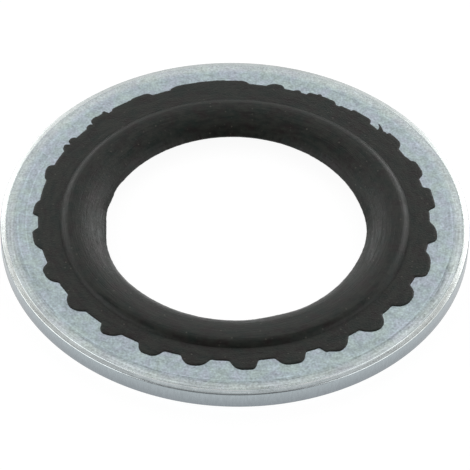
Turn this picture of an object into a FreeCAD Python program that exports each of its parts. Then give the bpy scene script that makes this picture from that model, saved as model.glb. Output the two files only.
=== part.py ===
import FreeCAD, Part
import math
import os

os.makedirs("parts", exist_ok=True)

# A bonded sealing ring: a flat stamped steel washer with a rubber ring moulded round its bore.
# Millimetres and degrees. The axis is Z, and z = 0 is the middle of the washer's thickness.

# Radii are built outwards from the lip, which seals on the pipe end.
LIP_R = 7.78
LIP_WIDTH = 1.82
STEEL_WIDTH = 4.4
STEEL_T = 1.1

# Steel washer. The mould clamps its face up to a fine ridge, this far in from the outer wall.
RIM_WIDTH = 0.97
RIDGE_HALF_WIDTH = 0.06
RIDGE_H = 0.01
# Beyond the ridge the stamped face falls away gently, then rolls down to the sheared wall.
FALL_DEPTH = 0.04
ROLL_WIDTH = 0.27
ROLL_DEPTH = 0.07
BURR_CHAMFER = 0.04

# Rubber ring, the same above and below the steel. The bead's crest stands on the steel.
LIP_LAND = 0.08
BEAD_SEAT = 0.52
BEAD_H = 0.27
FILM_T = 0.05
# The face falls from the bead to the lip in two arcs, and these are its slopes at their ends.
SHOULDER_SLOPE = 24.0
NOSE_SLOPE = 50.0
# The bead's crest rounds over into a straight outer flank of this slope.
BEAD_ROUND = 0.3
FLANK_SLOPE = 50.0

# Castellated rim of the rubber film that lies on each steel face, with bare steel up to the ridge
BARE_WIDTH = 0.84
TOOTH_COUNT = 26
TOOTH_PHASE = 10.0
TOOTH_TIP_WIDTH = 1.1
TOOTH_BASE_WIDTH = 1.64
TIP_ROUND = 0.22
NOTCH_DEPTH = 0.47
# The notch floors lie on a circle that is off centre, because the rubber ran further to one side.
ROOT_SHIFT_X = -0.06
ROOT_SHIFT_Y = 0.2
# Notches that the rubber filled up to the tooth tips, counted from the first tooth.
FILLED_NOTCHES_TOP = [6]
FILLED_NOTCHES_UNDER = []

STEEL_BORE_R = LIP_R + LIP_WIDTH
STEEL_OUTER_R = STEEL_BORE_R + STEEL_WIDTH
RIDGE_R = STEEL_OUTER_R - RIM_WIDTH
BEAD_R = STEEL_BORE_R + BEAD_SEAT
TOOTH_TIP_R = RIDGE_R - BARE_WIDTH
ROOT_R = TOOTH_TIP_R - NOTCH_DEPTH
TOOTH_TIP_HALF = math.degrees(TOOTH_TIP_WIDTH / 2 / TOOTH_TIP_R)
TOOTH_BASE_HALF = math.degrees(TOOTH_BASE_WIDTH / 2 / ROOT_R)
PITCH = 360.0 / TOOTH_COUNT
HALF_T = STEEL_T / 2
FILM_TOP = HALF_T + FILM_T
BEAD_TOP = FILM_TOP + BEAD_H


def at(r, z):
    return FreeCAD.Vector(r, 0, z)


def line(a, b):
    return Part.LineSegment(a, b).toShape()


def arc(a, b, c):
    return Part.Arc(a, b, c).toShape()


def polar(r, degrees, z=0.0):
    a = math.radians(degrees)
    return FreeCAD.Vector(r * math.cos(a), r * math.sin(a), z)


def turned(edges):
    face = Part.Face(Part.Wire(Part.__sortEdges__(edges)))
    return face.revolve(FreeCAD.Vector(0, 0, 0), FreeCAD.Vector(0, 0, 1), 360)


def steel_washer():
    fall_r = RIDGE_R + RIDGE_HALF_WIDTH
    roll_r = STEEL_OUTER_R - ROLL_WIDTH

    bore_top = at(STEEL_BORE_R, HALF_T)
    ridge_in = at(RIDGE_R - RIDGE_HALF_WIDTH, HALF_T)
    ridge = at(RIDGE_R, HALF_T + RIDGE_H)
    fall = at(fall_r, HALF_T)
    # The fall is an arc that starts level, so at half its width it has dropped a quarter.
    fall_mid = at((fall_r + roll_r) / 2, HALF_T - FALL_DEPTH / 4)
    roll = at(roll_r, HALF_T - FALL_DEPTH)
    corner = at(STEEL_OUTER_R, HALF_T - ROLL_DEPTH)
    wall_foot = at(STEEL_OUTER_R, BURR_CHAMFER - HALF_T)
    foot = at(STEEL_OUTER_R - BURR_CHAMFER, -HALF_T)
    bore_foot = at(STEEL_BORE_R, -HALF_T)

    edges = [line(bore_top, ridge_in)]
    edges.append(line(ridge_in, ridge))
    edges.append(line(ridge, fall))
    edges.append(arc(fall, fall_mid, roll))
    edges.append(line(roll, corner))
    edges.append(line(corner, wall_foot))
    edges.append(line(wall_foot, foot))
    edges.append(line(foot, bore_foot))
    edges.append(line(bore_foot, bore_top))
    return turned(edges)


def lip_radii():
    # Radii of the two tangent arcs that lead from the level bead top down to the lip's edge.
    s1 = math.sin(math.radians(SHOULDER_SLOPE))
    c1 = math.cos(math.radians(SHOULDER_SLOPE))
    s2 = math.sin(math.radians(NOSE_SLOPE))
    c2 = math.cos(math.radians(NOSE_SLOPE))
    run = BEAD_R - LIP_R
    drop = BEAD_TOP - LIP_LAND / 2
    nose_r = (drop * s1 - run * (1 - c1)) / (s1 * (c1 - c2) - (s2 - s1) * (1 - c1))
    shoulder_r = (run - nose_r * (s2 - s1)) / s1
    return shoulder_r, nose_r


def fallen(start, radius, slope_a, slope_b, way):
    # Where an arc that falls from slope_a to slope_b ends. way is -1 towards the axis, 1 away from it.
    a = math.radians(slope_a)
    b = math.radians(slope_b)
    r = start[0] + way * radius * (math.sin(b) - math.sin(a))
    z = start[1] - radius * (math.cos(a) - math.cos(b))
    return r, z


def bead_foot():
    # End of the bead's crest rounding and the foot of its straight flank.
    flank = fallen((BEAD_R, BEAD_TOP), BEAD_ROUND, 0, FLANK_SLOPE, 1)
    run = (flank[1] - FILM_TOP) / math.tan(math.radians(FLANK_SLOPE))
    return flank, (flank[0] + run, FILM_TOP)


def film_seam_r():
    # The turned ring hands over to the castellated film midway between bead and notch floors.
    return (bead_foot()[1][0] + ROOT_R) / 2


def rubber_section():
    shoulder_r, nose_r = lip_radii()
    mid_slope = (SHOULDER_SLOPE + NOSE_SLOPE) / 2
    crest = (BEAD_R, BEAD_TOP)
    shoulder = fallen(crest, shoulder_r, 0, SHOULDER_SLOPE / 2, -1)
    joint = fallen(crest, shoulder_r, 0, SHOULDER_SLOPE, -1)
    nose = fallen(joint, nose_r, SHOULDER_SLOPE, mid_slope, -1)
    land = (LIP_R, LIP_LAND / 2)
    over = fallen(crest, BEAD_ROUND, 0, FLANK_SLOPE / 2, 1)
    flank, foot = bead_foot()

    edges = []
    for side in (1, -1):
        channel = at(STEEL_BORE_R, side * HALF_T)
        film_in = at(film_seam_r(), side * HALF_T)
        film_out = at(film_seam_r(), side * FILM_TOP)
        points = [at(r, side * z) for r, z in (land, nose, joint, shoulder, crest, over, flank, foot)]
        edges.append(arc(points[0], points[1], points[2]))
        edges.append(arc(points[2], points[3], points[4]))
        edges.append(arc(points[4], points[5], points[6]))
        edges.append(line(points[6], points[7]))
        edges.append(line(points[7], film_out))
        edges.append(line(film_out, film_in))
        edges.append(line(film_in, channel))
    edges.append(line(at(LIP_R, -LIP_LAND / 2), at(LIP_R, LIP_LAND / 2)))
    edges.append(line(at(STEEL_BORE_R, -HALF_T), at(STEEL_BORE_R, HALF_T)))
    return turned(edges)


def root_r(degrees):
    a = math.radians(degrees)
    toward = ROOT_SHIFT_X * math.cos(a) + ROOT_SHIFT_Y * math.sin(a)
    shift = ROOT_SHIFT_X ** 2 + ROOT_SHIFT_Y ** 2
    return toward + math.sqrt(ROOT_R ** 2 - shift + toward ** 2)


def tangent(degrees):
    return polar(1.0, degrees + 90)


def rounded(corner, back, ahead, radius):
    # Start, middle and end of the rounding of a corner whose two sides lead off back and ahead.
    back = back.normalize()
    ahead = ahead.normalize()
    half = back.getAngle(ahead) / 2
    inward = (back + ahead).normalize()
    trim = radius / math.tan(half)
    start = corner + back * trim
    middle = corner + inward * (radius / math.sin(half) - radius)
    end = corner + ahead * trim
    return start, middle, end


def tooth_spans(filled):
    # First and last tooth angle of each tooth, or of each row of teeth whose notches are filled.
    spans = []
    k = 0
    while k < TOOTH_COUNT:
        last = k
        while last in filled:
            last += 1
        spans.append((TOOTH_PHASE + k * PITCH, TOOTH_PHASE + last * PITCH))
        k = last + 1
    return spans


def castellated_rim(z, filled):
    # Straight tooth flanks with rounded tips, tip arcs between them, and notch floors between teeth.
    spans = tooth_spans(filled)
    edges = []
    for i, (first, last) in enumerate(spans):
        following = spans[i + 1][0] if i + 1 < len(spans) else spans[0][0] + 360
        notch = (last + following) / 2
        foot_a = first - TOOTH_BASE_HALF
        top_a = first - TOOTH_TIP_HALF
        top_b = last + TOOTH_TIP_HALF
        foot_b = last + TOOTH_BASE_HALF
        foot_c = following - TOOTH_BASE_HALF
        base_a = polar(root_r(foot_a), foot_a, z)
        tip_a = polar(TOOTH_TIP_R, top_a, z)
        tip_mid = polar(TOOTH_TIP_R, (first + last) / 2, z)
        tip_b = polar(TOOTH_TIP_R, top_b, z)
        base_b = polar(root_r(foot_b), foot_b, z)
        floor_mid = polar(root_r(notch), notch, z)
        base_c = polar(root_r(foot_c), foot_c, z)
        turn_a = rounded(tip_a, base_a - tip_a, tangent(top_a), TIP_ROUND)
        turn_b = rounded(tip_b, -tangent(top_b), base_b - tip_b, TIP_ROUND)
        edges.append(line(base_a, turn_a[0]))
        edges.append(arc(turn_a[0], turn_a[1], turn_a[2]))
        edges.append(arc(turn_a[2], tip_mid, turn_b[0]))
        edges.append(arc(turn_b[0], turn_b[1], turn_b[2]))
        edges.append(line(turn_b[2], base_b))
        edges.append(arc(base_b, floor_mid, base_c))
    return Part.Wire(edges)


def castellated_film(z, filled):
    disc = Part.Face(castellated_rim(z, filled)).extrude(FreeCAD.Vector(0, 0, FILM_T))
    return disc.cut(Part.makeCylinder(film_seam_r(), FILM_T, FreeCAD.Vector(0, 0, z)))


def rubber_seal():
    ring = rubber_section()
    top = castellated_film(HALF_T, FILLED_NOTCHES_TOP)
    under = castellated_film(-FILM_TOP, FILLED_NOTCHES_UNDER)
    joined = ring.fuse([top, under]).removeSplitter()
    return joined.Solids[0]


NODES = {"steel_washer": steel_washer, "rubber_seal": rubber_seal}

for name, make in NODES.items():
    shape = make()
    if not shape.isValid():
        raise ValueError(name + " is not a valid solid")
    shape.exportStep("parts/" + name + ".step")
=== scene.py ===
import math

import bpy
from mathutils import Matrix, Vector, noise


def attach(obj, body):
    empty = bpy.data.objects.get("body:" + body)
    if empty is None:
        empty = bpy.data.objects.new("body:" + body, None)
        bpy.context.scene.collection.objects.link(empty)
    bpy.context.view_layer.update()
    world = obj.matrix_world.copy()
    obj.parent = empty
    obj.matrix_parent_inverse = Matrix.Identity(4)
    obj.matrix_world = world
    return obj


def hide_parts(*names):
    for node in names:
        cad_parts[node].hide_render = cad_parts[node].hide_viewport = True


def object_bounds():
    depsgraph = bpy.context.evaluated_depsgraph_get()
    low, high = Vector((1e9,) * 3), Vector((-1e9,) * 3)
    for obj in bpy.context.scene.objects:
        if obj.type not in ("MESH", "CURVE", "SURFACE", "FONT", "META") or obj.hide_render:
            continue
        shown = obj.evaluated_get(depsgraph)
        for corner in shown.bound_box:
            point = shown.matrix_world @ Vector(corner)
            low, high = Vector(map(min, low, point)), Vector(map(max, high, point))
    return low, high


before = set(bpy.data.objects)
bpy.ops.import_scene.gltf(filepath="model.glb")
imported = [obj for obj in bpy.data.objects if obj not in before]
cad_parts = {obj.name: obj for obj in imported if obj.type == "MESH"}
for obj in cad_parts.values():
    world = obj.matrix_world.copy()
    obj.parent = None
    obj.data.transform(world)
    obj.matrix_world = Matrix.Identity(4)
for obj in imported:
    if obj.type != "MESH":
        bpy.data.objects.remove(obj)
cad_low, cad_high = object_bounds()


# Camera. A long lens looks down on the ring at 45 degrees from 210 mm away, as for a catalogue
# picture. It is held a degree off level, so the right side of the ring sits a little low, and its
# shift sets the ring a little off the middle of the picture.
MM = 0.001
CAMERA_DISTANCE = 210 * MM
CAMERA_ELEVATION = math.radians(45.24)
CAMERA_ROLL = math.radians(1.27)
AIM = Vector((0, 0, -0.55 * MM))
LENS_MM = 268.4
FILM_WIDTH_MM = 36
SHIFT_X = 0.0006
SHIFT_Y = -0.0042
NEAREST_SEEN = 0.01
FARTHEST_SEEN = 20

away = Vector((0, -math.cos(CAMERA_ELEVATION), math.sin(CAMERA_ELEVATION)))
bpy.ops.object.camera_add(location=AIM + away * CAMERA_DISTANCE)
camera = bpy.context.object
camera.name = "catalogue_camera"
camera.matrix_world = (
    Matrix.Translation(AIM + away * CAMERA_DISTANCE)
    @ Matrix.Rotation(math.pi / 2 - CAMERA_ELEVATION, 4, "X")
    @ Matrix.Rotation(CAMERA_ROLL, 4, "Z")
)
camera.data.lens = LENS_MM
camera.data.sensor_width = FILM_WIDTH_MM
camera.data.shift_x = SHIFT_X
camera.data.shift_y = SHIFT_Y
camera.data.clip_start = NEAREST_SEEN
camera.data.clip_end = FARTHEST_SEEN
bpy.context.scene.camera = camera
bpy.context.scene.view_settings.view_transform = "Standard"


# Floor: a sheet of matt white photo paper. The bead on the under face of the ring stands on it.
# Added light that only the camera, glossy and transmission rays see makes it white; shadows stay.
FLOOR_Z = cad_low.z
FLOOR_SIZE = 8.0
PAPER_GLOW = 0.935


def linear(hex_colour):
    """The linear RGBA of an sRGB colour that is written as six hex digits."""
    parts = [int(hex_colour[i : i + 2], 16) / 255 for i in (0, 2, 4)]
    return (*[c / 12.92 if c <= 0.04045 else ((c + 0.055) / 1.055) ** 2.4 for c in parts], 1.0)


def new_material(name):
    """A new material with an empty node tree, and that tree."""
    material = bpy.data.materials.new(name)
    material.use_nodes = True
    material.node_tree.nodes.clear()
    return material, material.node_tree


def node(tree, kind, inputs, **settings):
    """Adds a node with its settings and links.

    inputs is a list in the order of the sockets, or a dictionary by their name or number. A node
    in it stands for that node's first output.
    """
    made = tree.nodes.new(kind)
    for name, value in settings.items():
        setattr(made, name, value)
    given = inputs.items() if isinstance(inputs, dict) else enumerate(inputs)
    for name, value in given:
        if isinstance(value, bpy.types.Node):
            value = value.outputs[0]
        if isinstance(value, bpy.types.NodeSocket):
            tree.links.new(value, made.inputs[name])
        else:
            made.inputs[name].default_value = value
    return made


bpy.ops.object.select_all(action="DESELECT")
bpy.ops.mesh.primitive_plane_add(size=FLOOR_SIZE, location=(0, 0, FLOOR_Z))
floor = bpy.context.object
floor.name = "floor"

# Matt white paper: no gloss at all, and no pattern that shows at this distance.
paper, tree = new_material("matt_white_paper")
ray = node(tree, "ShaderNodeLightPath", {})
seen = ray.outputs["Is Camera Ray"]
for kind_of_ray in ("Is Glossy Ray", "Is Transmission Ray"):
    seen = node(tree, "ShaderNodeMath", [seen, ray.outputs[kind_of_ray]], operation="MAXIMUM")
surface = node(
    tree,
    "ShaderNodeBsdfPrincipled",
    {
        "Base Color": linear("606060"),
        "Roughness": 1.0,
        "Specular IOR Level": 0.0,
        "Emission Color": linear("FFFFFF"),
        "Emission Strength": node(tree, "ShaderNodeMath", [seen, PAPER_GLOW], operation="MULTIPLY"),
    },
)
node(tree, "ShaderNodeOutputMaterial", {"Surface": surface})
floor.data.materials.append(paper)


# Lamps: a white wall of light behind the ring in two tiers, a softbox on each side of it, a dim
# wall at each end, and a weak softbox overhead. The room behind the camera is dim, which is what
# the near edges mirror. Azimuth 0 is straight behind the ring.
ROOM_LIGHT = 0.19
LAMPS = [
    # Name, azimuth and elevation in degrees, distance, width and height in metres, radiance.
    ("low_back_wall", 0, 25.5, 1.0, 1.1, 0.55, 0.8),
    ("high_back_wall", 0, 56.5, 1.0, 1.0, 0.55, 0.38),
    ("top_softbox", 0, 88, 1.0, 0.8, 0.5, 0.27),
    ("right_softbox", 35, 24, 0.9, 0.42, 0.62, 2.95),
    ("left_softbox", -35, 24, 0.9, 0.42, 0.62, 2.1),
    ("right_side_wall", 97, 30, 0.9, 1.2, 0.6, 1.3),
    ("left_side_wall", -97, 30, 0.9, 1.2, 0.6, 1.5),
]

for name, azimuth, elevation, distance, width, height, radiance in LAMPS:
    a, e = math.radians(azimuth), math.radians(elevation)
    towards = Vector((math.sin(a) * math.cos(e), math.cos(a) * math.cos(e), math.sin(e)))
    bpy.ops.object.light_add(type="AREA", location=towards * distance)
    lamp = bpy.context.object
    lamp.name = name
    lamp.rotation_euler = towards.to_track_quat("Z", "Y").to_euler()
    lamp.data.shape = "RECTANGLE"
    lamp.data.size = width
    lamp.data.size_y = height
    lamp.data.energy = radiance * math.pi * width * height
    lamp.visible_camera = False

world = bpy.data.worlds.new("dim_room")
bpy.context.scene.world = world
world.use_nodes = True
room = world.node_tree.nodes["Background"]
room.inputs["Color"].default_value = linear("FFFFFF")
room.inputs["Strength"].default_value = ROOM_LIGHT


# Steel washer: blanked from zinc-plated strip, 1.1 mm thick. The punch left the upper edge rolled
# and the wall sheared, and the rubber mould clamped a fine line into the face near the edge.
STEEL_BORE_R = 9.6
STEEL_OUTER_R = 14.0
HALF_T = 0.55
STEEL_STEPS = 720
CREASE_ANGLE = math.radians(32)
SAME_POINT = 0.001 * MM
# A ring of points in each of the wide flat faces, under the rim of the rubber film.
FACE_MIDDLE_R = 11.9
UNDER_FACE_MIDDLE_R = 12.0

# Points of the upper face and the edge, in mm inwards from the wall and down from the face. Pairs
# that stand close together keep the clamped line, the start of the roll and the corner crisp.
CLAMPED_LINE = [(1.07, 0.001), (1.04, -0.0005), (1.01, -0.0005), (0.98, 0.0015), (0.9, 0.0025)]
IRONED_FACE = [(0.8, 0.0035), (0.7, 0.004), (0.5, 0.004), (0.37, 0.005)]
RAISED_BURR = [(0.35, 0.003), (0.338, 0.004)]
ROLL = [(0.322, 0.0175), (0.31, 0.019), (0.24, 0.029), (0.15, 0.0425), (0.085, 0.0525)]
BROKEN_CORNER = [(0.057, 0.0615), (0.043, 0.0725), (0.019, 0.0965), (0.012, 0.1045)]
CORNER_TO_WALL = [(0.006, 0.122), (0.002, 0.15), (0.0, 0.185)]
SHEARED_WALL = [(0.0, 0.4), (0.002, 0.75), (0.006, 1.065)]
FOOT = [(0.015, 1.09), (0.035, 1.1)]


def turned_ring(name, section_mm, steps):
    """Draws a closed section, as (radius, height) points in mm, and turns it round the axis."""
    section = [(r * MM, z * MM) for r, z in section_mm]
    bpy.ops.object.select_all(action="DESELECT")
    bpy.ops.mesh.primitive_plane_add(size=MM, location=(0, 0, 0))
    ring = bpy.context.object
    ring.name = name
    bpy.ops.object.mode_set(mode="EDIT")
    bpy.ops.mesh.select_all(action="SELECT")
    bpy.ops.mesh.merge(type="CENTER")
    bpy.ops.transform.translate(value=(section[0][0], 0, section[0][1]))
    for (r0, z0), (r1, z1) in zip(section, section[1:] + section[:1]):
        bpy.ops.mesh.extrude_vertices_move(
            TRANSFORM_OT_translate={"value": (r1 - r0, 0, z1 - z0)}
        )
    bpy.ops.mesh.select_all(action="SELECT")
    bpy.ops.mesh.remove_doubles(threshold=SAME_POINT)
    bpy.ops.object.mode_set(mode="OBJECT")
    bpy.ops.object.modifier_add(type="SCREW")
    turn = ring.modifiers[0]
    turn.axis = "Z"
    turn.steps = steps
    turn.render_steps = steps
    turn.use_merge_vertices = True
    turn.merge_threshold = SAME_POINT
    bpy.ops.object.modifier_apply(modifier=turn.name)
    bpy.ops.object.mode_set(mode="EDIT")
    bpy.ops.mesh.select_all(action="SELECT")
    bpy.ops.mesh.normals_make_consistent(inside=False)
    bpy.ops.object.mode_set(mode="OBJECT")
    bpy.ops.object.shade_smooth_by_angle(angle=CREASE_ANGLE)
    return ring


upper_edge = CLAMPED_LINE + IRONED_FACE + RAISED_BURR + ROLL + BROKEN_CORNER + CORNER_TO_WALL
steel_section = [(STEEL_BORE_R, HALF_T), (FACE_MIDDLE_R, HALF_T)]
for inwards, down in upper_edge + SHEARED_WALL + FOOT:
    steel_section.append((STEEL_OUTER_R - inwards, HALF_T - down))
steel_section += [(UNDER_FACE_MIDDLE_R, -HALF_T), (STEEL_BORE_R, -HALF_T)]
steel = turned_ring("zinc_plated_washer", steel_section, STEEL_STEPS)
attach(steel, "root")
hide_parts("steel_washer")

# Zinc-plated steel, blanked and passivated: a blue-grey satin metal. The face inside the clamped
# line keeps the strip's mottled grain; outside it the punch ironed the zinc paler, with streaks
# that run round the ring. The sheared wall is duller than the face, and painted shade darkens it
# towards its foot.
GRAIN = 0.13 * MM
MOTTLE = 0.42 * MM
PATCH = 2.4 * MM
TINT = 0.9 * MM
STREAK = 0.09 * MM
STREAK_TURNS = 5.0
WIDE_STREAK = 0.36 * MM
WIDE_STREAK_TURNS = 3.0
PIT_SPACING = 1.9 * MM
PIT_SIZE = 0.05 * MM
TEAR = 0.09 * MM
GRAIN_DEPTH = 0.0025 * MM

# Where the finishes of the face meet, as the radii between which one turns into the other.
IRONED_FROM, IRONED_FULL = 13.02 * MM, 13.36 * MM
BURNISHED_FROM, BURNISHED_FULL = 13.51 * MM, 13.61 * MM
ROLLED_FROM, ROLLED_FULL = 13.655 * MM, 13.68 * MM
WALL_FROM, WALL_FULL = 13.93 * MM, 13.945 * MM
WALL_TOP, WALL_TOP_FULL = 0.47 * MM, 0.44 * MM
# Heights over which the wall's painted shade lightens, from its foot to near its top.
WALL_SHADE_FOOT, WALL_SHADE_TOP = -0.5 * MM, 0.35 * MM

# Rings in the face: each one's radius and half its width. All but the scratch carry painted
# highlight or painted shade.
RIDGE_HIGHLIGHT = (12.96 * MM, 0.09 * MM)
TROUGH_SHADE = (13.1 * MM, 0.13 * MM)
PAINTED_ROLL_LINE = (13.61 * MM, 0.1 * MM)
PAINTED_ROLL_GLINT = (13.68 * MM, 0.05 * MM)
SCRATCH = (12.47 * MM, 0.05 * MM)
zinc, tree = new_material("zinc_plated_steel_stamped")


def ring_places(tree):
    """Object coordinates, radius and direction from the axis."""
    place = node(tree, "ShaderNodeTexCoord", {}).outputs["Object"]
    flat = node(tree, "ShaderNodeVectorMath", [place, (1, 1, 0)], operation="MULTIPLY")
    radius = node(tree, "ShaderNodeVectorMath", [flat], operation="LENGTH").outputs["Value"]
    spoke = node(tree, "ShaderNodeVectorMath", [flat], operation="NORMALIZE")
    return place, radius, spoke


def round_the_ring(tree, spoke, radius, width, turns):
    """Noise drawn out along the ring: lines this wide, that change this often round it."""
    around = node(tree, "ShaderNodeVectorMath", {0: spoke, "Scale": turns}, operation="SCALE")
    across = node(tree, "ShaderNodeMath", [radius, 1 / width], operation="MULTIPLY")
    across = node(tree, "ShaderNodeCombineXYZ", {"Z": across})
    both = node(tree, "ShaderNodeVectorMath", [around, across], operation="ADD")
    return node(tree, "ShaderNodeTexNoise", {"Vector": both, "Scale": 1.0, "Detail": 2.0})


def ring_at(tree, radius, centre, half_width):
    """1 on a circle of the face, falling to 0 at half the ring's width off it."""
    off = node(tree, "ShaderNodeMath", [radius, centre], operation="SUBTRACT")
    off = node(tree, "ShaderNodeMath", [off], operation="ABSOLUTE")
    return node(tree, "ShaderNodeMapRange", [off, 0.4 * half_width, half_width, 1.0, 0.0])


# How far to the right and to the back of the ring a point lies, from -1 to 1, and its height.
place, radius, spoke = ring_places(tree)
direction = node(tree, "ShaderNodeSeparateXYZ", [spoke])
rightwards, backwards = direction.outputs["X"], direction.outputs["Y"]
height = node(tree, "ShaderNodeSeparateXYZ", [place]).outputs["Z"]

# The patterns, and which finish a point has: 0 to 1 for each.
grain = node(tree, "ShaderNodeTexNoise", {"Vector": place, "Scale": 1 / GRAIN, "Detail": 2.0})
mottle = node(tree, "ShaderNodeTexNoise", {"Vector": place, "Scale": 1 / MOTTLE, "Detail": 3.0})
patch = node(tree, "ShaderNodeTexNoise", {"Vector": place, "Scale": 1 / PATCH, "Detail": 2.0})
drift = node(tree, "ShaderNodeTexNoise", {"Vector": place, "Scale": 1 / TINT, "Detail": 3.0})
streak = round_the_ring(tree, spoke, radius, STREAK, STREAK_TURNS)
wide_streak = round_the_ring(tree, spoke, radius, WIDE_STREAK, WIDE_STREAK_TURNS)
ironed = node(tree, "ShaderNodeMapRange", [radius, IRONED_FROM, IRONED_FULL])
burnished = node(tree, "ShaderNodeMapRange", [radius, BURNISHED_FROM, BURNISHED_FULL])
rolled = node(tree, "ShaderNodeMapRange", [radius, ROLLED_FROM, ROLLED_FULL])
# Masks by side of the ring that carry painted light: painted shade at the back, painted highlights
# and shade at the front.
painted_shade_back = node(tree, "ShaderNodeMapRange", [backwards, 0.3, 1.0])
painted_light_front = node(tree, "ShaderNodeMapRange", [backwards, -0.6, -0.95])

# Grey that drifts between lavender, neutral and green, as thin passivated zinc does.
tint = node(tree, "ShaderNodeValToRGB", {"Fac": drift})
tint.color_ramp.elements[0].position = 0.36
tint.color_ramp.elements[0].color = linear("B9C2CC")
tint.color_ramp.elements[1].position = 0.64
tint.color_ramp.elements[1].color = linear("B7C6C5")
tint.color_ramp.elements.new(0.5).color = linear("B6C4C9")

# The ironed ring is paler than the strip. The roll is paler again; a painted highlight makes it
# paler still at the front, and a painted shade makes it duller at the back.
as_colour = {"data_type": "RGBA"}
pale = node(tree, "ShaderNodeMix", {0: 0.4, 6: tint, 7: linear("E6EAE7")}, **as_colour).outputs[2]
body = node(tree, "ShaderNodeMix", {0: ironed, 6: tint, 7: pale}, **as_colour).outputs[2]
roll_painted_highlight = {0: painted_light_front, 6: linear("D5DAD8"), 7: linear("DDE6E9")}
roll_painted_highlight = node(tree, "ShaderNodeMix", roll_painted_highlight, **as_colour).outputs[2]
roll_colour_and_painted_light = {0: painted_shade_back, 6: roll_painted_highlight, 7: linear("BEC4C4")}
roll_colour_and_painted_light = node(tree, "ShaderNodeMix", roll_colour_and_painted_light, **as_colour).outputs[2]
body = node(tree, "ShaderNodeMix", {0: rolled, 6: body, 7: roll_colour_and_painted_light}, **as_colour).outputs[2]

# Light and shade of the surface, 1 on average. The grain is fainter where the punch burnished it,
# the lumps are flatter where it ironed them, and the streaks are fainter towards the back.
grain_contrast = node(tree, "ShaderNodeMapRange", [burnished, 0.0, 1.0, 0.9, 0.3])
shade = node(tree, "ShaderNodeMath", [grain, -0.5], operation="ADD")
shade = node(tree, "ShaderNodeMath", [shade, grain_contrast, 1.0], operation="MULTIPLY_ADD")
lump_contrast = node(tree, "ShaderNodeMapRange", [ironed, 0.0, 1.0, 0.55, 0.4])
lumps = node(tree, "ShaderNodeMath", [mottle, -0.5], operation="ADD")
shade = node(tree, "ShaderNodeMath", [lumps, lump_contrast, shade], operation="MULTIPLY_ADD")
lines = node(tree, "ShaderNodeMath", [wide_streak, -1.1, 0.05], operation="MULTIPLY_ADD")
lines = node(tree, "ShaderNodeMath", [streak, lines], operation="ADD")
line_contrast = node(tree, "ShaderNodeMapRange", [ironed, 0.0, 1.0, 0.25, 0.8])
streak_fade = node(tree, "ShaderNodeMapRange", [backwards, -0.3, 0.6, 1.0, 0.35])
lines = node(tree, "ShaderNodeMath", [lines, line_contrast], operation="MULTIPLY")
shade = node(tree, "ShaderNodeMath", [lines, streak_fade, shade], operation="MULTIPLY_ADD")
shade = node(tree, "ShaderNodeMath", [shade, -0.06], operation="ADD")
shade = node(tree, "ShaderNodeMath", [patch, 0.12, shade], operation="MULTIPLY_ADD")

# Pits in the zinc: a dark dot in some of the cells of a wide pattern.
cells = node(
    tree,
    "ShaderNodeTexVoronoi",
    {"Vector": place, "Scale": 1 / PIT_SPACING},
    voronoi_dimensions="2D",
)
chosen = node(tree, "ShaderNodeSeparateXYZ", [cells.outputs["Color"]])
chosen = node(tree, "ShaderNodeMath", [chosen, 0.45], operation="GREATER_THAN")
pit_edge = PIT_SIZE / PIT_SPACING
pits = node(tree, "ShaderNodeMapRange", [cells, 0.6 * pit_edge, pit_edge, 1.0, 0.0])
pits = node(tree, "ShaderNodeMath", [pits, chosen], operation="MULTIPLY")
pits = node(tree, "ShaderNodeMapRange", [pits, 0.0, 1.0, 1.0, 0.72])
shade = node(tree, "ShaderNodeMath", [shade, pits], operation="MULTIPLY")

# A painted highlight on the ridge where the mould's rim pressed and painted shade in the trough
# outside it, both weaker at the back and broken up by the streaks.
ridge_highlight_share = node(tree, "ShaderNodeMapRange", [backwards, 0.85, 0.35])
ridge_highlight = ring_at(tree, radius, *RIDGE_HIGHLIGHT)
ridge_highlight = node(tree, "ShaderNodeMath", [ridge_highlight, ridge_highlight_share], operation="MULTIPLY")
ridge_highlight_strength = node(tree, "ShaderNodeMapRange", [streak, 0.35, 0.6, 0.04, 0.16])
shade = node(tree, "ShaderNodeMath", [ridge_highlight, ridge_highlight_strength, shade], operation="MULTIPLY_ADD")
trough_shade_share = node(tree, "ShaderNodeMapRange", [backwards, 0.4, -0.3])
trough_shade = ring_at(tree, radius, *TROUGH_SHADE)
trough_shade = node(tree, "ShaderNodeMath", [trough_shade, trough_shade_share], operation="MULTIPLY")
trough_shade_depth = node(tree, "ShaderNodeMapRange", [streak, 0.35, 0.6, -0.24, -0.02])
shade = node(tree, "ShaderNodeMath", [trough_shade, trough_shade_depth, shade], operation="MULTIPLY_ADD")

# A painted highlight on a line at the start of the roll that turns to painted shade at the front, a
# painted glint beside it at the front only, and one scratch at the left.
painted_roll_line = ring_at(tree, radius, *PAINTED_ROLL_LINE)
painted_roll_line_light = node(tree, "ShaderNodeMapRange", [painted_light_front, 0.0, 1.0, 0.07, -0.06])
shade = node(tree, "ShaderNodeMath", [painted_roll_line, painted_roll_line_light, shade], operation="MULTIPLY_ADD")
# A painted glint on the roll, at the front only.
painted_glint = ring_at(tree, radius, *PAINTED_ROLL_GLINT)
painted_glint = node(tree, "ShaderNodeMath", [painted_glint, painted_light_front], operation="MULTIPLY")
shade = node(tree, "ShaderNodeMath", [painted_glint, 0.35, shade], operation="MULTIPLY_ADD")
scratch_share = node(tree, "ShaderNodeMapRange", [rightwards, -0.9, -0.97])
scratch = ring_at(tree, radius, *SCRATCH)
scratch = node(tree, "ShaderNodeMath", [scratch, scratch_share], operation="MULTIPLY")
shade = node(tree, "ShaderNodeMath", [scratch, 0.18, shade], operation="MULTIPLY_ADD")
body = node(tree, "ShaderNodeVectorMath", {0: body, "Scale": shade}, operation="SCALE")
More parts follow.
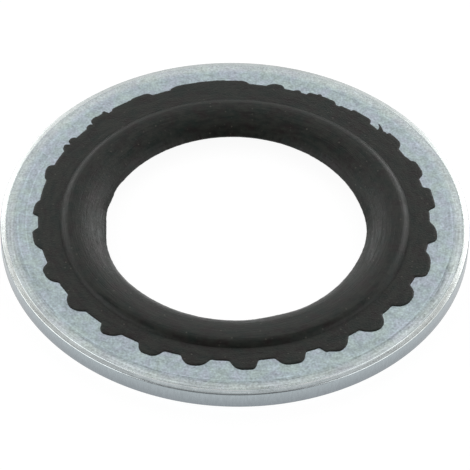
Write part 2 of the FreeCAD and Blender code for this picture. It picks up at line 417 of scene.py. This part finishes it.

# The sheared wall: bright below the corner and torn near its foot, with upright marks. It is a
# duller grey than the face, and painted shade darkens it towards its foot.
upright = node(tree, "ShaderNodeVectorMath", [place, (1, 1, 0.2)], operation="MULTIPLY")
tears = node(tree, "ShaderNodeTexNoise", {"Vector": upright, "Scale": 1 / TEAR, "Detail": 3.0})
tears = node(tree, "ShaderNodeMapRange", [tears, 0.3, 0.7, 0.94, 1.06])
wall_and_painted_shade = {
    0: node(tree, "ShaderNodeMapRange", [height, WALL_SHADE_FOOT, WALL_SHADE_TOP]),
    6: linear("8C9398"),
    7: linear("A4ADB1"),
}
wall_and_painted_shade = node(tree, "ShaderNodeMix", wall_and_painted_shade, **as_colour).outputs[2]
wall_and_painted_shade = node(tree, "ShaderNodeVectorMath", {0: wall_and_painted_shade, "Scale": tears}, operation="SCALE")
below = node(tree, "ShaderNodeMapRange", [height, WALL_TOP, WALL_TOP_FULL])
outside = node(tree, "ShaderNodeMapRange", [radius, WALL_FROM, WALL_FULL])
wall = node(tree, "ShaderNodeMath", [below, outside], operation="MULTIPLY")
body = node(tree, "ShaderNodeMix", {0: wall, 6: body, 7: wall_and_painted_shade}, **as_colour).outputs[2]

# Satin where the grain stands, smoother where it was ironed, and smoothest on the burnished roll.
gloss = node(tree, "ShaderNodeMath", [ironed, -0.12], operation="MULTIPLY")
gloss = node(tree, "ShaderNodeMath", [grain, gloss], operation="ADD")
gloss = node(tree, "ShaderNodeMapRange", [gloss, 0.25, 0.7, 0.28, 0.42])
change = node(tree, "ShaderNodeMath", [0.27, gloss], operation="SUBTRACT")
gloss = node(tree, "ShaderNodeMath", [burnished, change, gloss], operation="MULTIPLY_ADD")
relief = node(
    tree,
    "ShaderNodeBump",
    {
        "Height": node(tree, "ShaderNodeMath", [grain, mottle], operation="ADD"),
        "Strength": node(tree, "ShaderNodeMapRange", [burnished, 0.0, 1.0, 1.0, 0.0]),
        "Distance": GRAIN_DEPTH,
    },
)
surface = node(
    tree,
    "ShaderNodeBsdfPrincipled",
    {"Base Color": body, "Metallic": 1.0, "Roughness": gloss, "Normal": relief},
)
node(tree, "ShaderNodeOutputMaterial", {"Surface": surface})
steel.data.materials.append(zinc)


# Rubber ring: nitrile rubber, moulded round the washer's bore and bonded to it in one shot. It has
# a raised bead on the steel, a face that rounds down to the lip, and a thin film on the steel with
# a toothed rim.
LIP_R = 7.78
LIP_LAND = 0.08
BEAD_R = 9.93
BEAD_TOP = 0.87
BEAD_ROUND = 0.68
FLANK_SLOPE = 50.0
SHOULDER_SLOPE = 24.0
NOSE_SLOPE = 50.0
FILM_TOP = 0.6
RUBBER_STEPS = 1440

# The film is drawn with a round rim, which is then moved in and out. It stays where it is inside
# FILM_FIXED_R, stretches outside it, and its last EDGE_WIDTH moves as it is.
FILM_FIXED_R = 11.15
RIM_DRAWN_R = 12.0
EDGE_WIDTH = 0.25
EDGE_FROM_R = RIM_DRAWN_R - EDGE_WIDTH
FILM_RINGS_R = (10.9, FILM_FIXED_R, 11.45, EDGE_FROM_R)
# The rounded edge of the film, in mm inwards from the rim and down from the film's top.
FILM_EDGE = [(0.13, 0.002), (0.06, 0.009), (0.02, 0.021), (0.0, 0.038), (-0.004, 0.052)]


def falling_arc(start, radius, slope_from, slope_to, way, steps):
    """Points of an arc that falls from one slope to another, towards the axis if way is -1."""
    points = []
    a = math.radians(slope_from)
    for i in range(1, steps + 1):
        b = math.radians(slope_from + (slope_to - slope_from) * i / steps)
        r = start[0] + way * radius * (math.sin(b) - math.sin(a))
        points.append((r, start[1] - radius * (math.cos(a) - math.cos(b))))
    return points


def rubber_half(lip_steps, shoulder_steps, bead_steps):
    """The section above the middle plane, from the lip out to the film's rim and its foot.

    Two arcs that meet at one slope lead from the crest, where the face is level, to the lip. Their
    radii follow from how far the face runs and drops.
    """
    s1, c1 = math.sin(math.radians(SHOULDER_SLOPE)), math.cos(math.radians(SHOULDER_SLOPE))
    s2, c2 = math.sin(math.radians(NOSE_SLOPE)), math.cos(math.radians(NOSE_SLOPE))
    run = BEAD_R - LIP_R
    drop = BEAD_TOP - LIP_LAND / 2
    nose_radius = (drop * s1 - run * (1 - c1)) / (s1 * (c1 - c2) - (s2 - s1) * (1 - c1))
    shoulder_radius = (run - nose_radius * (s2 - s1)) / s1
    crest = (BEAD_R, BEAD_TOP)
    face = falling_arc(crest, shoulder_radius, 0, SHOULDER_SLOPE, -1, shoulder_steps)
    face += falling_arc(face[-1], nose_radius, SHOULDER_SLOPE, NOSE_SLOPE, -1, lip_steps)
    bead = falling_arc(crest, BEAD_ROUND, 0, FLANK_SLOPE, 1, bead_steps)
    foot = bead[-1][0] + (bead[-1][1] - FILM_TOP) / math.tan(math.radians(FLANK_SLOPE))
    film = [(r, FILM_TOP) for r in (foot, *FILM_RINGS_R)]
    film += [(RIM_DRAWN_R - inwards, FILM_TOP - down) for inwards, down in FILM_EDGE]
    return face[::-1] + [crest] + bead + film


upper = rubber_half(lip_steps=6, shoulder_steps=12, bead_steps=7)
lower = [(r, -z) for r, z in rubber_half(lip_steps=4, shoulder_steps=7, bead_steps=3)]
steel_bore = [(STEEL_BORE_R, HALF_T), (STEEL_BORE_R, -HALF_T)]
rubber = turned_ring("moulded_rubber_ring", upper + steel_bore + lower[::-1], RUBBER_STEPS)

# Teeth and flash of the upper film: first and last degree, reach in mm, and how many degrees the
# two flanks take. The rubber ran further on the far side, where flash fills most notches.
TEETH = [
    (6.3, 15.1, 12.12, 1.6, 1.0),
    (19.9, 26.8, 12.15, 2.8, 1.1),
    (26.8, 28.6, 11.92, 0.9, 2.3),
    (33.8, 40.2, 12.23, 2.8, 0.9),
    (40.0, 41.4, 12.05, 0.7, 0.7),
    (41.3, 42.8, 12.26, 0.7, 0.7),
    (46.9, 54.2, 12.17, 1.4, 0.9),
    (54.2, 58.0, 12.02, 0.7, 1.0),
    (59.7, 68.8, 12.16, 1.8, 1.0),
    (64.4, 66.2, 12.28, 1.1, 0.9),
    (71.0, 72.8, 12.09, 1.1, 1.6),
    (76.4, 80.8, 12.25, 2.1, 3.0),
    (87.2, 109.8, 12.25, 2.8, 3.4),
    (92.0, 104.0, 12.28, 3.4, 3.4),
    (116.6, 123.0, 12.28, 2.3, 1.7),
    (121.5, 129.8, 12.19, 1.7, 0.9),
    (129.5, 131.5, 12.04, 0.7, 0.7),
    (131.3, 137.6, 12.26, 0.9, 1.0),
    (131.4, 132.8, 12.34, 0.6, 0.7),
    (134.6, 137.0, 12.31, 0.9, 1.0),
    (138.2, 140.2, 12.07, 0.8, 1.1),
    (145.6, 148.1, 12.17, 1.6, 1.1),
    (149.1, 151.3, 12.16, 0.9, 3.0),
    (158.9, 164.0, 12.17, 1.5, 5.3),
    (174.4, 179.9, 12.08, 3.9, 1.0),
    (185.5, 193.0, 12.11, 1.8, 4.3),
    (200.4, 207.2, 12.13, 2.8, 4.4),
    (215.0, 221.0, 12.14, 5.8, 5.4),
    (229.6, 234.9, 12.12, 3.0, 5.1),
    (242.7, 249.3, 12.11, 2.9, 2.9),
    (256.0, 262.7, 12.08, 3.4, 4.4),
    (270.2, 277.1, 12.13, 3.8, 1.8),
    (283.5, 291.0, 12.12, 4.0, 2.9),
    (296.5, 305.0, 11.9, 1.1, 3.5),
    (297.6, 304.4, 12.2, 5.4, 5.1),
    (311.1, 318.0, 12.19, 5.4, 4.8),
    (324.8, 332.8, 12.16, 4.0, 4.8),
    (338.2, 347.0, 12.14, 2.2, 7.3),
    (352.6, 359.6, 12.1, 2.4, 5.9),
]
# A flank starts this share of its width early, so that a tooth stands out of its notch at once.
HEAD_START = 0.2
NOTCH_R = 11.71
NOTCH_SHIFT = (-0.06, 0.27)

# One torn flap of flash leans over: the degrees that it spans, the radius at which it starts to
# lean, and by how many degrees it leans for each mm beyond that.
FLAP_FROM, FLAP_TO = 41.0, 43.2
FLAP_FOOT_R = 11.98
FLAP_LEAN = 9.5

# The flash comes in and fades out between these degrees. The film's edge is torn by about this
# much in mm, in coarse and fine waves: the share of each, and its steps of noise for each radian.
FLASH_STARTS, FLASH_FULL = 28, 42
FLASH_FADES, FLASH_ENDS = 160, 200
FLASH_RAGGED = 0.022
CLEAN_RAGGED = 0.019
TEAR_WAVES = [(1.0, 34), (0.8, 90)]

# The under film's teeth are clean: how many, where the first one is, half of a tooth's foot and
# the width of a flank in degrees, and the radii of the tips and of the notches.
UNDER_TEETH = 26
UNDER_FIRST = 10
UNDER_HALF_FOOT = 3.9
UNDER_FLANK = 1.9
UNDER_TIP_R = 12.19
UNDER_NOTCH_R = 11.72
UNDER_NOTCH_SHIFT = (-0.06, 0.2)


def eased(x):
    """0 below 0, 1 above 1, and a smooth rise between them."""
    x = min(1.0, max(0.0, x))
    return x * x * (3 - 2 * x)


def swollen(x):
    """0 below 0, 1 above 1, and between them a rise that starts at once and rounds over."""
    return (1 - (1 - min(1.0, max(0.0, x))) ** 2) ** 0.7


def fine_waves(degrees, waves):
    """Noise round a circle: the sum of waves, each a height and its steps for each radian."""
    a = math.radians(degrees)
    spot = Vector((math.cos(a), math.sin(a), 0.0))
    return sum(swell * noise.noise(spot * steps) for swell, steps in waves)


def notch_floor(degrees, radius, shift):
    """The floors of the notches lie on a circle whose centre is shifted."""
    a = math.radians(degrees)
    toward = shift[0] * math.cos(a) + shift[1] * math.sin(a)
    return toward + math.sqrt(radius**2 - shift[0] ** 2 - shift[1] ** 2 + toward**2)


def upper_rim(degrees):
    """Radius of the upper film's rim, in mm."""
    floor_r = notch_floor(degrees, NOTCH_R, NOTCH_SHIFT)
    rim = floor_r
    for first, last, reach, lead, trail in TEETH:
        for turn in (-360, 0, 360):
            d = degrees + turn
            if first - lead < d < last + trail:
                rise = swollen((d - first) / lead + HEAD_START)
                fall = swollen((last - d) / trail + HEAD_START)
                rim = max(rim, floor_r + (reach - floor_r) * rise * fall)
    return rim


def flash_share(degrees):
    """1 on the far side, where flash stands in the notches, 0 on the near side."""
    comes_in = eased((degrees - FLASH_STARTS) / (FLASH_FULL - FLASH_STARTS))
    return comes_in * eased((FLASH_ENDS - degrees) / (FLASH_ENDS - FLASH_FADES))


def raggedness(degrees):
    """The torn edge of the film, in mm: rough where there is flash, slight elsewhere."""
    depth = CLEAN_RAGGED + (FLASH_RAGGED - CLEAN_RAGGED) * flash_share(degrees)
    return depth * fine_waves(degrees, TEAR_WAVES)


def under_rim(degrees):
    """Radius of the under film's rim, in mm: the same teeth, clean, with no flash."""
    pitch = 360 / UNDER_TEETH
    off = abs((degrees - UNDER_FIRST + pitch / 2) % pitch - pitch / 2)
    floor_r = notch_floor(degrees, UNDER_NOTCH_R, UNDER_NOTCH_SHIFT)
    return floor_r + (UNDER_TIP_R - floor_r) * eased((UNDER_HALF_FOOT - off) / UNDER_FLANK)


# The lip's edge was never quite round: the angle, swelling in mm and half width in degrees of each
# wave. Fine waves come on top, and the face takes them all up within LIP_FADE mm of the lip.
LIP_WAVES = [
    (2, 0.085, 9),
    (48, -0.042, 24),
    (93, 0.034, 20),
    (134, -0.022, 22),
    (157, 0.035, 4),
    (164, -0.055, 4),
    (183, -0.11, 7),
    (211, 0.105, 14),
    (265, -0.03, 14),
    (288, -0.09, 8),
    (325, -0.02, 14),
    (351, 0.05, 8),
]
FINE_LIP_WAVES = [(0.012, 26), (0.008, 70)]
LIP_FADE = 0.55


def lip_shift(degrees):
    """How far the lip's edge stands off its circle, in mm."""
    total = 0.0
    for angle, swell, width in LIP_WAVES:
        off = abs((degrees - angle + 180) % 360 - 180) / width
        total += swell * math.exp(-0.7 * off * off)
    return total + fine_waves(degrees, FINE_LIP_WAVES)


def softened(values, reach):
    """Each value of a closed ring becomes the mean of itself and its neighbours on both sides."""
    count = len(values)
    span = range(-reach, reach + 1)
    return [sum(values[(i + k) % count] for k in span) / len(span) for i in range(count)]


# Clean teeth have rounded corners, and the flash is crisp. A step is a quarter of a degree.
angles = [360 * step / RUBBER_STEPS for step in range(RUBBER_STEPS)]
crisp_rims = [upper_rim(d) for d in angles]
round_rims = softened(softened(crisp_rims, 1), 1)
top_rims = [
    clean + (flash - clean) * flash_share(d) + raggedness(d)
    for flash, clean, d in zip(crisp_rims, round_rims, angles)
]
foot_rims = softened([under_rim(d) for d in angles], 3)
lip_shifts = [lip_shift(d) for d in angles]

# Each ring of points moves with the lip, the film or its rim. A hair's breadth tells them apart.
HAIR = 0.01
for vertex in rubber.data.vertices:
    x, y, z = vertex.co
    r = math.hypot(x, y) / MM
    turn = math.atan2(y, x)
    step = round(math.degrees(turn) % 360 * RUBBER_STEPS / 360) % RUBBER_STEPS
    new_r = r + lip_shifts[step] * (1 - eased((r - LIP_R) / LIP_FADE))
    if r > FILM_FIXED_R + HAIR:
        rim = top_rims[step] if z > 0 else foot_rims[step]
        if r >= EDGE_FROM_R - HAIR:
            new_r = rim + r - RIM_DRAWN_R
        else:
            share = (r - FILM_FIXED_R) / (EDGE_FROM_R - FILM_FIXED_R)
            new_r = FILM_FIXED_R + share * (rim - EDGE_WIDTH - FILM_FIXED_R)
    if z > 0 and r > FILM_FIXED_R and FLAP_FROM < math.degrees(turn) < FLAP_TO:
        turn += math.radians(FLAP_LEAN * max(0.0, new_r - FLAP_FOOT_R))
    vertex.co.x = new_r * MM * math.cos(turn)
    vertex.co.y = new_r * MM * math.sin(turn)
rubber.data.update()
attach(rubber, "root")
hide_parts("rubber_seal")

# Black nitrile rubber, compression moulded: nearly black, and matt from the mould's blasted steel.
# It is a little cloudy where the compound flowed, with faint rings from the turned mould.
MOULD_GRIT = 0.12 * MM
GRIT_DEPTH = 0.02 * MM
SCUFF = 0.3 * MM
SCUFF_TURNS = 9.0
FLOW = 0.9 * MM
TURNING = 0.07 * MM
TURNING_TURNS = 4.0
TURNED_TO, FILM_FROM = 10.2 * MM, 10.6 * MM
DUST_SPACING = 0.33 * MM
DUST_SIZE = 0.07 * MM
nitrile, tree = new_material("black_nitrile_rubber_moulded")
place, radius, spoke = ring_places(tree)
grit = node(tree, "ShaderNodeTexNoise", {"Vector": place, "Scale": 1 / MOULD_GRIT, "Detail": 2.0})
flow = node(tree, "ShaderNodeTexNoise", {"Vector": place, "Scale": 1 / FLOW, "Detail": 4.0})
turning = round_the_ring(tree, spoke, radius, TURNING, TURNING_TURNS)
long_scuff = round_the_ring(tree, spoke, radius, SCUFF, SCUFF_TURNS)
scuff = node(tree, "ShaderNodeTexNoise", {"Vector": place, "Scale": 1 / SCUFF, "Detail": 3.0})
scuff = node(tree, "ShaderNodeMath", [scuff, 0.4], operation="MULTIPLY")
scuff = node(tree, "ShaderNodeMath", [long_scuff, 0.6, scuff], operation="MULTIPLY_ADD")

# Black that drifts between brown and green with the flow, and dusty grey where it is scuffed.
black = {
    0: node(tree, "ShaderNodeMapRange", [flow, 0.38, 0.62]),
    6: linear("140C0B"),
    7: linear("04150F"),
}
black = node(tree, "ShaderNodeMix", black, **as_colour).outputs[2]
scuffed = node(tree, "ShaderNodeMapRange", [scuff, 0.42, 0.62])
dusty = {0: scuffed, 6: black, 7: linear("1E211B")}
dusty = node(tree, "ShaderNodeMix", dusty, **as_colour).outputs[2]

# Dust that the rubber holds: a pale speck in some cells of a fine pattern.
cells = node(tree, "ShaderNodeTexVoronoi", {"Vector": place, "Scale": 1 / DUST_SPACING})
chosen = node(tree, "ShaderNodeSeparateXYZ", [cells.outputs["Color"]])
chosen = node(tree, "ShaderNodeMapRange", [chosen, 0.5, 1.0, 0.0, 0.7])
speck_edge = DUST_SIZE / DUST_SPACING
specks = node(tree, "ShaderNodeMapRange", [cells, 0.4 * speck_edge, speck_edge, 1.0, 0.0])
specks = node(tree, "ShaderNodeMath", [specks, chosen], operation="MULTIPLY")
dusty = {0: specks, 6: dusty, 7: linear("54524A")}
dusty = node(tree, "ShaderNodeMix", dusty, **as_colour).outputs[2]

# Rings left by the turned mould: clear on the face and the bead, faint on the film.
ring_share = node(tree, "ShaderNodeMapRange", [radius, TURNED_TO, FILM_FROM, 0.7, 0.1])
rings = node(tree, "ShaderNodeMath", [turning, grit], operation="SUBTRACT")
rings = node(tree, "ShaderNodeMath", [rings, ring_share, grit], operation="MULTIPLY_ADD")
rough = node(tree, "ShaderNodeMath", [rings, scuff], operation="ADD")
surface = node(
    tree,
    "ShaderNodeBsdfPrincipled",
    {
        "Base Color": dusty,
        "Roughness": node(tree, "ShaderNodeMapRange", [rough, 0.75, 1.25, 0.3, 0.55]),
        "IOR": 1.39,
        "Normal": node(
            tree, "ShaderNodeBump", {"Height": rough, "Strength": 1.0, "Distance": GRIT_DEPTH}
        ),
    },
)
node(tree, "ShaderNodeOutputMaterial", {"Surface": surface})
rubber.data.materials.append(nitrile)
